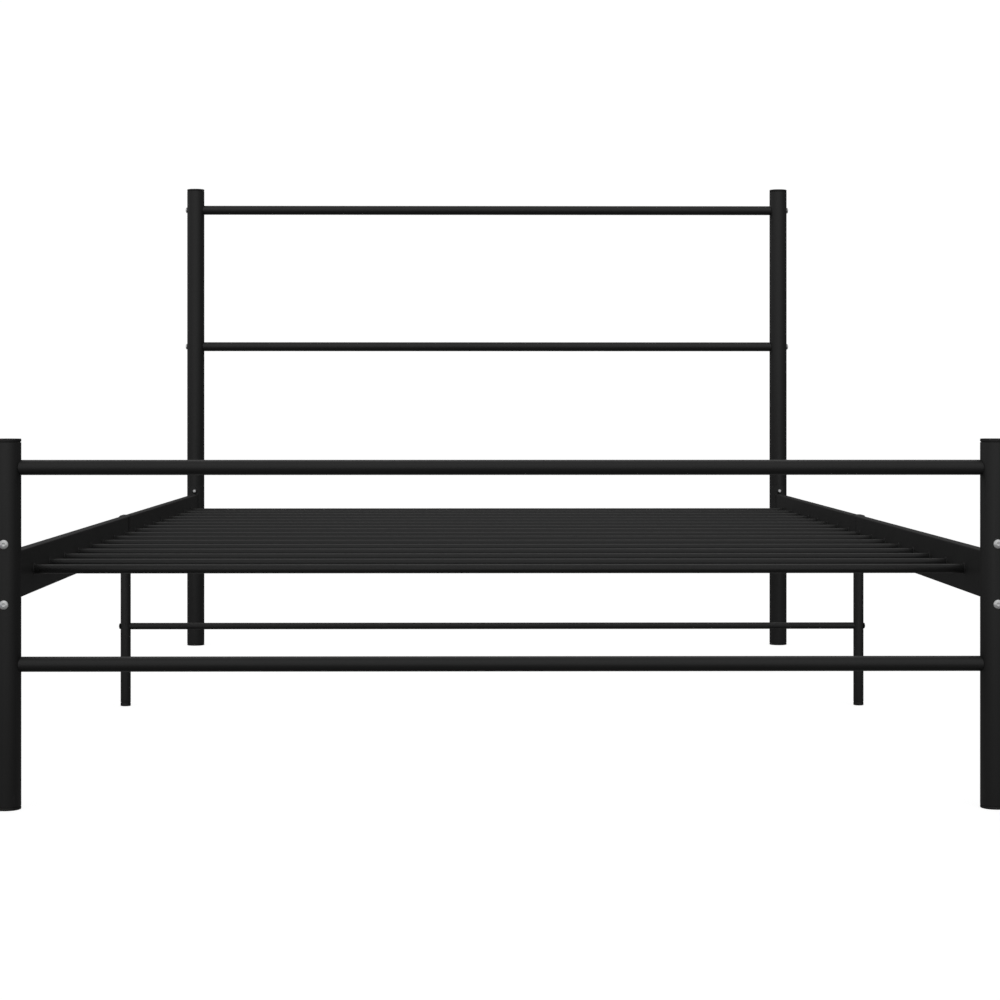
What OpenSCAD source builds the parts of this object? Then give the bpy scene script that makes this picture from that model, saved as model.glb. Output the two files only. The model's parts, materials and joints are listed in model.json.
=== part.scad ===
// Knock-down tubular steel bed frame: round posts, coped rungs, split side rails,
// round slats, centre legs and the fixings that hold them together.
// Millimetres. Origin on the floor at the middle of the frame. The headboard is
// towards +Y, the footboard towards -Y, and "left" is the -X side.

/* [Mattress] */
// Width of the mattress that lies in the frame
mattress_w = 1200; // [900:100:1600]
// Length of the mattress
mattress_l = 2000; // [1900:50:2100]
// Free play between the mattress and the two side rails together
side_play = 20; // [12:1:40]
// Free play between the mattress and the posts, both ends together
end_play = 4; // [2:1:20]

/* [Heights] */
// Height of the headboard posts with glide and cap
head_h = 965; // [950:5:1100]
// Height of the footboard posts with glide and cap
foot_h = 462; // [445:1:600]
// Centre height of the upper headboard rung
head_rung_high = 921; // [860:1:930]
// Centre height of the lower headboard rung
head_rung_low = 632; // [500:1:800]
// Centre height of the upper footboard rung
foot_rung_high = 426; // [370:1:430]
// Centre height of the lower footboard rung
foot_rung_low = 180.5; // [60:0.5:225]
// Height of the top edge of the side rails
rail_top = 319.5; // [300:0.5:330]
// Centre height of the crossbar between the centre legs
crossbar_z = 134; // [60:1:190]

/* [Tubes] */
// Outside diameter of the four posts
post_d = 36; // [34:1:40]
// Wall of the post tube
post_wall = 1.5; // [1.2:0.1:2]
// Outside diameter of the rungs
rung_d = 19; // [17:1:22]
// Wall of the rung tube
rung_wall = 1.2; // [1:0.1:1.5]
// Thickness of the rectangular side rail tube
rail_t = 15; // [14:1:20]
// Height of the rectangular side rail tube
rail_h = 60; // [56:1:62]
// Wall of the side rail tube
rail_wall = 1.5; // [1.2:0.1:1.8]
// Outside diameter of the centre legs
leg_d = 17; // [16:1:20]
// Wall of the centre leg tube
leg_wall = 1.2; // [1:0.1:1.5]
// Outside diameter of the crossbar
crossbar_d = 11; // [10.5:0.5:13]
// Wall of the crossbar tube
crossbar_wall = 1; // [0.8:0.1:1.1]

/* [Slats] */
// Number of round slats, which is even so that none meets the rail joint
slat_count = 16; // [12:2:16]
// Outside diameter of a slat
slat_d = 12; // [10:1:13]
// Wall of the slat tube
slat_wall = 1; // [0.8:0.1:1.2]
// Distance from a post's axis to the nearest slat's axis
slat_end_gap = 145.5; // [120:0.5:180]

/* [Fixings] */
// Thread diameter of the rail, rung and joiner screws
screw_d = 6; // [6:1:6]
// Thread diameter of the crossbar screws
small_screw_d = 5; // [4:1:5]
// Vertical distance between the two screws of a rail end
rail_screw_pitch = 75; // [74:1:78]

/* [Hidden] */
$fn = 64;

LEFT = -1;
RIGHT = 1;
FOOT = -1;
HEAD = 1;
SIDES = [LEFT, RIGHT];
ENDS = [FOOT, HEAD];

BLACK_COAT = [0.07, 0.07, 0.075];
BLACK_PLASTIC = [0.05, 0.05, 0.05];
BLACK_STEEL = [0.12, 0.12, 0.12];
BRIGHT_ZINC = [0.78, 0.78, 0.76];

slip = 0.1;          // radial gap between a push-in piece and its tube
thread_gap = 0.05;   // radial gap between a screw and its thread
hole_gap = 0.3;      // radial gap round a screw in a plain hole
over = 1;            // how far a cut runs past the face it opens

// Post axes
post_x = (mattress_w + side_play + rail_t) / 2;
post_y = (mattress_l + end_play + post_d) / 2;
post_r = post_d / 2;
post_bore = post_d - 2 * post_wall;

// Caps and glides
cap_t = 4.5;
cap_spigot = 14;
glide_t = 4;
leg_glide_t = 6;
glide_spigot = 18;
rim_chamfer = 0.8;
plug_wall = 2;

// Side rails
rail_z = rail_top - rail_h / 2;
rail_bottom = rail_top - rail_h;
rail_in = post_x - rail_t / 2;
rail_out = post_x + rail_t / 2;
joint_gap = 0.5;
rail_corner = 2;
corner_steps = 4;

// Curved end plates of the rails
saddle_t = 2.5;
saddle_w = 30;
saddle_h = rail_screw_pitch + 21;
saddle_r = post_r + saddle_t;
foot_saddle_rise = 4;    // the foot end's plates sit higher than the rail's middle
function saddle_z(end) = rail_z + (end == FOOT ? foot_saddle_rise : 0);
function rail_screw_z(end) = [for (k = [-1, 1]) saddle_z(end) + k * rail_screw_pitch / 2];

// Nuts on the back of the end plates
nut_af = 10;
nut_h = 5;
nut_relief_d = 14.6;
nut_relief_l = 9;

// Button-head screws: head diameter, head height, height of its upright rim and hexagon socket
function head_d(d) = 2 * d;
function head_t(d) = 0.55 * d;
function rim_t(d) = 0.28 * d;
function socket_af(d) = 0.66 * d;
function socket_depth(d) = 0.3 * d;
rail_screw_l = post_d + saddle_t + nut_h + 2;
rung_screw_l = post_d + 19;
joiner_screw_l = 9;
crossbar_screw_l = leg_d + 14;

// Threaded plugs in the ends of the rungs and of the crossbar
insert_l = 25;
crossbar_insert_l = 18;
insert_set_back = 1;

// Sheet-steel sleeve on top of the centre leg that holds the two halves of a rail
joiner_wall = 1.5;
joiner_gap = 0.1;
joiner_l = 40;
joiner_screw_y = 12;
joiner_side = joiner_gap + joiner_wall;
joiner_bottom = rail_bottom - joiner_side;
leg_top = joiner_bottom;

// Splice bar inside the rail joint
splice_l = 92;
splice_wall = 2.5;
splice_gap = 0.15;

// Slats and their bushes
slat_pitch = 2 * (post_y - slat_end_gap) / (slat_count - 1);
slat_z = rail_z;
slat_reach = rail_in + rail_wall + 4.5;
bush_flange_d = slat_d + 3.4;
bush_flange_t = 1;
bush_body_d = slat_d + 2.4;
bush_body_l = 3.2;
function slat_y(i) = (i - (slat_count + 1) / 2) * slat_pitch;
function slat_name(i) = str("slat_", i < 10 ? "0" : "", i);

// ---------- shared shapes ----------

// Round tube standing on z = 0
module tube(d, wall, length) {
    difference() {
        cylinder(d = d, h = length);
        translate([0, 0, -over]) cylinder(d = d - 2 * wall, h = length + 2 * over);
    }
}

// Turns +Z to +X
module to_x() rotate([0, 90, 0]) children();

// Turns +Z to the direction dir along Y
module to_y(dir = 1) rotate([-90 * dir, 0, 0]) children();

// Plug for a tube end: a chamfered disc from z = 0 to t with a hollow spigot above it
module tube_plug(d, t, bore, spigot) {
    spigot_r = bore / 2 - slip;
    core_r = spigot_r - plug_wall;
    rotate_extrude()
        polygon([
            [0, 0],
            [d / 2 - rim_chamfer, 0],
            [d / 2, rim_chamfer],
            [d / 2, t],
            [spigot_r, t],
            [spigot_r, t + spigot - rim_chamfer],
            [spigot_r - rim_chamfer, t + spigot],
            [core_r, t + spigot],
            [core_r, t],
            [0, t]
        ]);
}

// Button-head screw: the thread runs from z = 0 to length, the head lies below z = 0
module button_screw(d, length) {
    hd = head_d(d);
    ht = head_t(d);
    dome_t = ht - rim_t(d);
    dome_r = (hd * hd / 4 + dome_t * dome_t) / (2 * dome_t);
    union() {
        translate([0, 0, -over / 2]) cylinder(d = d, h = length + over / 2);
        difference() {
            intersection() {
                translate([0, 0, -ht]) cylinder(d = hd - 0.4, h = ht);
                translate([0, 0, dome_r - ht]) sphere(r = dome_r);
            }
            translate([0, 0, -ht - over])
                cylinder(d = socket_af(d) / cos(30), h = over + socket_depth(d), $fn = 6);
        }
    }
}

// Outline of a rounded rectangle centred on the origin
function rounded_rect(w, h, r) = [
    for (corner = [0 : 3])
        let (
            sx = corner == 0 || corner == 3 ? 1 : -1,
            sy = corner < 2 ? 1 : -1
        )
        for (step = [0 : corner_steps])
            let (a = 90 * corner + 90 * step / corner_steps)
            [sx * (w / 2 - r) + r * cos(a), sy * (h / 2 - r) + r * sin(a)]
];

// Rectangular tube with rounded corners along Y, from y = 0 to length, centred on X and Z
module rect_tube(w, h, wall, length, r = rail_corner) {
    translate([0, length, 0]) rotate([90, 0, 0])
        linear_extrude(length)
            difference() {
                polygon(rounded_rect(w, h, r));
                square([w - 2 * wall, h - 2 * wall], center = true);
            }
}

// ---------- headboard and footboard ----------

// Post with holes for the rail screws, front to back, and the rung screws, side to side
module post(side, end, h, rung_heights) {
    length = h - glide_t - cap_t;
    color(BLACK_COAT)
        difference() {
            translate([side * post_x, end * post_y, glide_t]) tube(post_d, post_wall, length);
            for (z = rail_screw_z(end))
                translate([side * post_x, end * post_y - post_d, z])
                    to_y() cylinder(d = screw_d + 2 * hole_gap, h = 2 * post_d);
            for (z = rung_heights)
                translate([side * post_x - post_d, end * post_y, z])
                    to_x() cylinder(d = screw_d + 2 * hole_gap, h = 2 * post_d);
        }
}

// Rung between two posts, with both ends coped to the round of the post
module rung(end, z) {
    color(BLACK_COAT)
        difference() {
            translate([-post_x, end * post_y, z]) to_x() tube(rung_d, rung_wall, 2 * post_x);
            for (side = SIDES)
                translate([side * post_x, end * post_y, z - rung_d])
                    cylinder(d = post_d, h = 2 * rung_d);
        }
}

module post_cap(side, end, h) {
    color(BLACK_PLASTIC)
        translate([side * post_x, end * post_y, h]) rotate([180, 0, 0])
            tube_plug(post_d, cap_t, post_bore, cap_spigot);
}

module post_glide(side, end) {
    color(BLACK_PLASTIC)
        translate([side * post_x, end * post_y, 0])
            tube_plug(post_d, glide_t, post_bore, glide_spigot);
}

// ---------- side rails ----------

// Half a side rail, from the curved end plate to the joint in the middle
module rail_half(side, end) {
    length = post_y - joint_gap / 2;
    first_slat = end == FOOT ? 1 : slat_count / 2 + 1;
    last_slat = end == FOOT ? slat_count / 2 : slat_count;
    color(BLACK_COAT)
        difference() {
            translate([side * post_x, end * joint_gap / 2 - (end == FOOT ? length : 0), rail_z])
                rect_tube(rail_t, rail_h, rail_wall, length);
            // the end is coped to the curved plate
            translate([side * post_x, end * post_y, rail_bottom - over])
                cylinder(r = saddle_r, h = rail_h + 2 * over);
            // the underside is scalloped round the lower nut
            translate([side * post_x, end * post_y, rail_screw_z(end)[0]])
                to_y(-end) cylinder(d = nut_relief_d, h = saddle_r + nut_relief_l);
            // bush holes through the inner wall only
            for (i = [first_slat : last_slat])
                translate([side * (rail_in + rail_wall / 2), slat_y(i), slat_z])
                    rotate([0, -90 * side, 0])
                        translate([0, 0, -rail_wall / 2 - over])
                            cylinder(d = bush_body_d + 2 * slip, h = rail_wall + 2 * over);
            // joiner screw hole through the outer wall only
            translate([side * (rail_out - rail_wall - over), end * joiner_screw_y, rail_z])
                rotate([0, 90 * side, 0])
                    cylinder(d = screw_d + 2 * hole_gap, h = rail_wall + 2 * over);
        }
}

// Curved plate on the end of a rail that hugs the post
module rail_saddle(side, end) {
    color(BLACK_COAT)
        translate([side * post_x, end * post_y, saddle_z(end) - saddle_h / 2])
            difference() {
                intersection() {
                    cylinder(r = saddle_r, h = saddle_h);
                    translate([-saddle_w / 2, end == HEAD ? -saddle_r - over : 0, 0])
                        cube([saddle_w, saddle_r + over, saddle_h]);
                }
                translate([0, 0, -over]) cylinder(r = post_r, h = saddle_h + 2 * over);
                for (z = rail_screw_z(end))
                    translate([0, 0, z - saddle_z(end) + saddle_h / 2])
                        to_y(-end) cylinder(d = screw_d + 2 * hole_gap, h = post_d);
            }
}

// Hexagon nuts welded to the backs of the end plates
module rail_weld_nuts() {
    color(BLACK_COAT)
        for (side = SIDES, end = ENDS, z = rail_screw_z(end))
            translate([side * post_x, end * (post_y - saddle_r), z])
                to_y(-end)
                    difference() {
                        cylinder(d = nut_af / cos(30), h = nut_h, $fn = 6);
                        translate([0, 0, -over])
                            cylinder(d = screw_d + 2 * thread_gap, h = nut_h + 2 * over);
                    }
}

// Sleeve round the rail joint, which stands on the centre leg
module rail_joiner(side) {
    color(BLACK_COAT)
        difference() {
            translate([side * post_x, -joiner_l / 2, rail_z])
                rect_tube(
                    rail_t + 2 * joiner_side,
                    rail_h + 2 * joiner_side,
                    joiner_wall,
                    joiner_l,
                    rail_corner + joiner_wall
                );
            for (end = ENDS)
                translate([side * rail_out, end * joiner_screw_y, rail_z])
                    rotate([0, 90 * side, 0])
                        cylinder(d = screw_d + 2 * hole_gap, h = 2 * joiner_side);
        }
}

// Bar inside the rail joint that takes the joiner screws
module rail_splice(side) {
    color(BLACK_STEEL)
        difference() {
            translate([side * post_x, -splice_l / 2, rail_z])
                rect_tube(
                    rail_t - 2 * (rail_wall + splice_gap),
                    rail_h - 2 * (rail_wall + splice_gap),
                    splice_wall,
                    splice_l,
                    rail_wall
                );
            for (end = ENDS)
                translate([side * post_x, end * joiner_screw_y, rail_z])
                    rotate([0, 90 * side, 0])
                        cylinder(d = screw_d + 2 * thread_gap, h = rail_t);
        }
}

// ---------- centre legs ----------

module centre_leg(side) {
    color(BLACK_COAT)
        difference() {
            translate([side * post_x, 0, leg_glide_t])
                tube(leg_d, leg_wall, leg_top - leg_glide_t);
            translate([side * post_x - leg_d, 0, crossbar_z])
                to_x() cylinder(d = small_screw_d + 2 * hole_gap, h = 2 * leg_d);
        }
}

module leg_glide(side) {
    color(BLACK_PLASTIC)
        translate([side * post_x, 0, 0])
            tube_plug(leg_d, leg_glide_t, leg_d - 2 * leg_wall, glide_spigot);
}

// Bar between the centre legs, with both ends coped to the round of the leg
module leg_crossbar() {
    color(BLACK_COAT)
        difference() {
            translate([-post_x, 0, crossbar_z])
                to_x() tube(crossbar_d, crossbar_wall, 2 * post_x);
            for (side = SIDES)
                translate([side * post_x, 0, crossbar_z - crossbar_d])
                    cylinder(d = leg_d, h = 2 * crossbar_d);
        }
}

// ---------- slats ----------

module slat(i) {
    color(BLACK_COAT)
        translate([-slat_reach, slat_y(i), slat_z]) to_x() tube(slat_d, slat_wall, 2 * slat_reach);
}

// Flanged bushes in the inner wall of one rail
module slat_bushes(side) {
    bore_r = slat_d / 2 + slip;
    color(BLACK_PLASTIC)
        for (i = [1 : slat_count])
            translate([side * (rail_in - bush_flange_t), slat_y(i), slat_z])
                rotate([0, 90 * side, 0])
                    rotate_extrude()
                        polygon([
                            [bore_r, 0],
                            [bush_flange_d / 2 - rim_chamfer, 0],
                            [bush_flange_d / 2, rim_chamfer],
                            [bush_flange_d / 2, bush_flange_t],
                            [bush_body_d / 2, bush_flange_t],
                            [bush_body_d / 2, bush_flange_t + bush_body_l],
                            [bore_r, bush_flange_t + bush_body_l]
                        ]);
}

// ---------- fixings ----------

// Screws through the posts into the rail ends, put in from outside the bed
module rail_screws(end) {
    color(BRIGHT_ZINC)
        for (side = SIDES, z = rail_screw_z(end))
            translate([side * post_x, end * (post_y + post_r), z])
                to_y(-end) button_screw(screw_d, rail_screw_l);
}

// Screws through the posts into the ends of the rungs
module rung_screws() {
    color(BRIGHT_ZINC)
        for (side = SIDES, seat = rung_seats)
            translate([side * (post_x + post_r), seat[0] * post_y, seat[1]])
                rotate([0, -90 * side, 0]) button_screw(screw_d, rung_screw_l);
}

// End and height of every rung
rung_seats = [
    [HEAD, head_rung_high], [HEAD, head_rung_low],
    [FOOT, foot_rung_high], [FOOT, foot_rung_low]
];

// Threaded plugs pressed into both ends of every rung
module rung_inserts() {
    color(BRIGHT_ZINC)
        for (side = SIDES, seat = rung_seats)
            translate([side * (post_x - post_r - insert_set_back), seat[0] * post_y, seat[1]])
                rotate([0, -90 * side, 0])
                    threaded_plug(rung_d - 2 * rung_wall, screw_d, insert_l);
}

// Round plug with a threaded bore, from z = 0 to length
module threaded_plug(d, thread_d, length) {
    tube(d, (d - thread_d) / 2 - thread_gap, length);
}

module crossbar_screws() {
    color(BLACK_STEEL)
        for (side = SIDES)
            translate([side * (post_x + leg_d / 2), 0, crossbar_z])
                rotate([0, -90 * side, 0]) button_screw(small_screw_d, crossbar_screw_l);
}

module crossbar_inserts() {
    color(BRIGHT_ZINC)
        for (side = SIDES)
            translate([side * (post_x - leg_d / 2 - insert_set_back), 0, crossbar_z])
                rotate([0, -90 * side, 0])
                    threaded_plug(
                        crossbar_d - 2 * crossbar_wall, small_screw_d, crossbar_insert_l
                    );
}

// Screws through the joiner and the rail into the splice bar
module joiner_screws() {
    color(BLACK_STEEL)
        for (side = SIDES, end = ENDS)
            translate([side * (rail_out + joiner_side), end * joiner_screw_y, rail_z])
                rotate([0, -90 * side, 0]) button_screw(screw_d, joiner_screw_l);
}

// ---------- assembly ----------

HEAD_RUNGS = [head_rung_high, head_rung_low];
FOOT_RUNGS = [foot_rung_high, foot_rung_low];

post(LEFT, HEAD, head_h, HEAD_RUNGS);  // head_post_left
post(RIGHT, HEAD, head_h, HEAD_RUNGS);  // head_post_right
post(LEFT, FOOT, foot_h, FOOT_RUNGS);  // foot_post_left
post(RIGHT, FOOT, foot_h, FOOT_RUNGS);  // foot_post_right

rung(HEAD, head_rung_high);  // head_rung_upper
rung(HEAD, head_rung_low);  // head_rung_lower
rung(FOOT, foot_rung_high);  // foot_rung_upper
rung(FOOT, foot_rung_low);  // foot_rung_lower

rail_half(LEFT, FOOT);  // rail_foot_left
rail_half(RIGHT, FOOT);  // rail_foot_right
rail_half(LEFT, HEAD);  // rail_head_left
rail_half(RIGHT, HEAD);  // rail_head_right

rail_saddle(LEFT, FOOT);  // saddle_foot_left
rail_saddle(RIGHT, FOOT);  // saddle_foot_right
rail_saddle(LEFT, HEAD);  // saddle_head_left
rail_saddle(RIGHT, HEAD);  // saddle_head_right

rail_joiner(LEFT);  // rail_joiner_left
rail_joiner(RIGHT);  // rail_joiner_right
rail_splice(LEFT);  // rail_splice_left
rail_splice(RIGHT);  // rail_splice_right

centre_leg(LEFT);  // centre_leg_left
centre_leg(RIGHT);  // centre_leg_right
leg_crossbar();

slat_bushes(LEFT);  // slat_bushes_left
slat_bushes(RIGHT);  // slat_bushes_right

post_cap(LEFT, HEAD, head_h);  // cap_head_left
post_cap(RIGHT, HEAD, head_h);  // cap_head_right
post_cap(LEFT, FOOT, foot_h);  // cap_foot_left
post_cap(RIGHT, FOOT, foot_h);  // cap_foot_right

post_glide(LEFT, HEAD);  // glide_head_left
post_glide(RIGHT, HEAD);  // glide_head_right
post_glide(LEFT, FOOT);  // glide_foot_left
post_glide(RIGHT, FOOT);  // glide_foot_right
leg_glide(LEFT);  // leg_glide_left
leg_glide(RIGHT);  // leg_glide_right

rail_screws(FOOT);  // rail_screws_foot
rail_screws(HEAD);  // rail_screws_head
rail_weld_nuts();
rung_screws();
rung_inserts();
crossbar_screws();
crossbar_inserts();
joiner_screws();

for (i = [1 : slat_count])
    slat(i);
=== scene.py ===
"""Looks of a tubular steel bed frame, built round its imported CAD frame.

Metres throughout, in the frame's own axes: +Y to the headboard, +Z up, X across.
"""
import json
import math
import random

import bmesh
import bpy
from mathutils import Matrix, Vector


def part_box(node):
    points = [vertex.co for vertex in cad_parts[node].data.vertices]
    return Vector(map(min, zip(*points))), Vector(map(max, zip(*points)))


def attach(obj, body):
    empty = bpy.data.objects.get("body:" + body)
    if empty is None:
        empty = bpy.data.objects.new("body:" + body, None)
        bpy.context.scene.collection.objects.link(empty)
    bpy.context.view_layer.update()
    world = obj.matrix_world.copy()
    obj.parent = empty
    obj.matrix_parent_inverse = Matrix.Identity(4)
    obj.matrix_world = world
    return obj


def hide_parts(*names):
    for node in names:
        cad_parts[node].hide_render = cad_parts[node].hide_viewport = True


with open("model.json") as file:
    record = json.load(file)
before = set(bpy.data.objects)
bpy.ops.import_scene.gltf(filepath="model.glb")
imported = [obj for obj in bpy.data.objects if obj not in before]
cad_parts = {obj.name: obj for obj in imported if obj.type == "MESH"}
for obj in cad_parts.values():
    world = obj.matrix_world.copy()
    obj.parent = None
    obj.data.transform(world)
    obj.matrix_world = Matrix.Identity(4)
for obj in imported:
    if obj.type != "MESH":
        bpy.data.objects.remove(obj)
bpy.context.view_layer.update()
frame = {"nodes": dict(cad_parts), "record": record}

MM = 0.001
BODY = "root"
SIDES = {"left": -1, "right": 1}
ENDS = {"foot": -1, "head": 1}


# ---------------------------------------------------------------- frame sizes

def centre(node):
    """Middle of a CAD node's box."""
    low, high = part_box(node)
    return (low + high) / 2


def extent(node):
    """Size of a CAD node's box."""
    low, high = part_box(node)
    return high - low


POST_R = extent("head_post_right").x / 2
POST_X = centre("head_post_right").x
POST_Y = centre("head_post_right").y
POST_WALL = 1.5 * MM
SCREW_HOLE_R = 3.3 * MM
SMALL_SCREW_HOLE_R = 2.8 * MM

RUNG_R = extent("head_rung_upper").z / 2
RUNG_WALL = 1.2 * MM

RAIL_T = extent("rail_head_right").x
RAIL_H = extent("rail_head_right").z
RAIL_Z = centre("rail_head_right").z
RAIL_WALL = 1.5 * MM
RAIL_CORNER = 2.0 * MM
RAIL_WELD_R = 1.35 * MM
RAIL_WELD_PITCH = 2.4 * MM
LEG_WELD_R = 1.3 * MM
LEG_WELD_PITCH = 2.2 * MM
JOINT_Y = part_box("rail_head_right")[0].y

SADDLE_Z = {end: centre(f"saddle_{end}_right").z for end in ENDS}
SADDLE_H = extent("saddle_head_right").z
SADDLE_W = extent("saddle_head_right").x
SADDLE_T = 2.5 * MM
SADDLE_R = POST_R + SADDLE_T
RAIL_SCREW_PITCH = 75 * MM
RAIL_SCREW_Z = {
    end: [middle + k * RAIL_SCREW_PITCH / 2 for k in (-1, 1)] for end, middle in SADDLE_Z.items()
}

NUT_AF = 10.0 * MM
NUT_H = 5.0 * MM
NUT_RELIEF_R = 7.3 * MM
NUT_RELIEF_L = 9.0 * MM

JOINER_L = extent("rail_joiner_right").y
JOINER_W = extent("rail_joiner_right").x
JOINER_H = extent("rail_joiner_right").z
JOINER_WALL = 1.5 * MM
JOINER_SCREW_Y = 12.0 * MM

LEG_R = extent("centre_leg_right").x / 2
LEG_WALL = 1.2 * MM
LEG_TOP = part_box("centre_leg_right")[1].z

CROSSBAR_R = extent("leg_crossbar").z / 2
CROSSBAR_Z = centre("leg_crossbar").z
CROSSBAR_WALL = 1.0 * MM

SLATS = sorted(n for n in frame["nodes"] if n.startswith("slat_") and n[5:].isdigit())
SLAT_R = extent(SLATS[0]).z / 2
SLAT_WALL = 1.0 * MM
SLAT_END_X = extent(SLATS[0]).x / 2
BUSH_R = extent("slat_bushes_left").z / 2
BUSH_INNER_X = -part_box("slat_bushes_left")[1].x
BUSH_BODY_R = SLAT_R + 1.2 * MM
BUSH_SLIP = 0.1 * MM
BUSH_FLANGE_T = 1.0 * MM
BUSH_L = extent("slat_bushes_left").x

GLIDE_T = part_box("head_post_right")[0].z
LEG_GLIDE_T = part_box("centre_leg_right")[0].z
GLIDE_SPIGOT = extent("glide_head_left").z - GLIDE_T
CAP_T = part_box("cap_head_left")[1].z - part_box("head_post_left")[1].z
CAP_SPIGOT = extent("cap_head_left").z - CAP_T


# ---------------------------------------------------------------- camera and light

CAMERA_BACK = 2.926      # in front of the footboard posts' axes
CAMERA_SIDE = -0.0437    # left of the middle of the bed
CAMERA_HEIGHT = 0.4975
CAMERA_TURN = 0.511      # degrees towards +X
CAMERA_LENS = 84.29      # on a 36 mm sensor
CAMERA_SHIFT = (0.01248, -0.08985)


def make_camera():
    data = bpy.data.cameras.new("camera")
    data.sensor_width = 36.0
    data.lens = CAMERA_LENS
    data.shift_x, data.shift_y = CAMERA_SHIFT
    data.clip_start = 0.05
    data.clip_end = 200.0
    camera = bpy.data.objects.new("camera", data)
    camera.location = (CAMERA_SIDE, -POST_Y - CAMERA_BACK, CAMERA_HEIGHT)
    camera.rotation_euler = (math.radians(90), 0, math.radians(-CAMERA_TURN))
    bpy.context.scene.collection.objects.link(camera)
    bpy.context.scene.camera = camera


def calculate(tree, operation, a, b):
    """Math node on two numbers or sockets."""
    node = tree.nodes.new("ShaderNodeMath")
    node.operation = operation
    for socket, value in zip(node.inputs, (a, b)):
        if isinstance(value, (int, float)):
            socket.default_value = value
        else:
            tree.links.new(value, socket)
    return node.outputs["Value"]


BACKDROP_WHITE = 1.02

# Brightness of the studio by the sine of the elevation, towards the front, left, right and back
SKY_LEVELS = (-1.0, -0.45, -0.15, 0.05, 0.22, 0.45, 0.75, 1.0)
SKY = (
    ("Y", -1, (0.08, 0.19, 0.31, 0.96, 0.60, 0.69, 1.02, 0.20)),
    ("X", -1, (0.08, 0.20, 0.13, 0.37, 0.62, 0.40, 0.14, 0.20)),
    ("X", 1, (0.08, 0.16, 0.11, 0.10, 0.20, 0.18, 0.35, 0.20)),
    ("Y", 1, (0.08, 0.30, 0.05, 0.02, 0.03, 0.30, 0.85, 0.20)),
)


def sky_side(tree, direction, axis, sign, values):
    """Light of one side of the studio, which fades towards its neighbours."""
    along = calculate(tree, "MAXIMUM", calculate(tree, "MULTIPLY", direction[axis], sign), 0.0)
    x_part = calculate(tree, "MULTIPLY", direction["X"], direction["X"])
    y_part = calculate(tree, "MULTIPLY", direction["Y"], direction["Y"])
    level = calculate(tree, "MAXIMUM", calculate(tree, "ADD", x_part, y_part), 1e-6)
    weight = calculate(tree, "DIVIDE", calculate(tree, "MULTIPLY", along, along), level)
    ramp = tree.nodes.new("ShaderNodeValToRGB")
    elements = ramp.color_ramp.elements
    while len(elements) < len(SKY_LEVELS):
        elements.new(1.0)
    for element, height, value in zip(elements, SKY_LEVELS, values):
        element.position = (height + 1) / 2
        element.color = (value, value, value, 1)
    half_up = calculate(tree, "MULTIPLY", calculate(tree, "ADD", direction["Z"], 1.0), 0.5)
    tree.links.new(half_up, ramp.inputs["Fac"])
    return calculate(tree, "MULTIPLY", ramp.outputs["Color"], weight)


def make_world():
    """White to the camera. As a light, a soft studio: bright in front and above, dim below."""
    world = bpy.data.worlds.new("studio")
    bpy.context.scene.world = world
    world.use_nodes = True
    tree = world.node_tree
    tree.nodes.clear()
    coords = tree.nodes.new("ShaderNodeTexCoord")
    split = tree.nodes.new("ShaderNodeSeparateXYZ")
    tree.links.new(coords.outputs["Generated"], split.inputs["Vector"])
    total = 0.0
    for axis, sign, values in SKY:
        total = calculate(tree, "ADD", total, sky_side(tree, split.outputs, axis, sign, values))
    glow = tree.nodes.new("ShaderNodeBackground")
    white = tree.nodes.new("ShaderNodeBackground")
    white.inputs["Color"].default_value = (1, 1, 1, 1)
    white.inputs["Strength"].default_value = BACKDROP_WHITE
    rays = tree.nodes.new("ShaderNodeLightPath")
    mix = tree.nodes.new("ShaderNodeMixShader")
    out = tree.nodes.new("ShaderNodeOutputWorld")
    tree.links.new(total, glow.inputs["Strength"])
    tree.links.new(rays.outputs["Is Camera Ray"], mix.inputs["Fac"])
    tree.links.new(glow.outputs["Background"], mix.inputs[1])
    tree.links.new(white.outputs["Background"], mix.inputs[2])
    tree.links.new(mix.outputs["Shader"], out.inputs["Surface"])


SOFTBOX_SIZE = (3.2, 4.4)
SOFTBOX_PLACE = (0, -0.2, 3.4)
SOFTBOX_POWER = 10.0


def make_softbox():
    """Large overhead softbox."""
    data = bpy.data.lights.new("top_softbox", "AREA")
    data.shape = "RECTANGLE"
    data.size, data.size_y = SOFTBOX_SIZE
    data.energy = SOFTBOX_POWER
    lamp = bpy.data.objects.new("top_softbox", data)
    lamp.location = SOFTBOX_PLACE
    bpy.context.scene.collection.objects.link(lamp)


FLOOR_REACH = 40.0
FLOOR_GREY = 0.42
FLOOR_GLOW = 0.87


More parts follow.
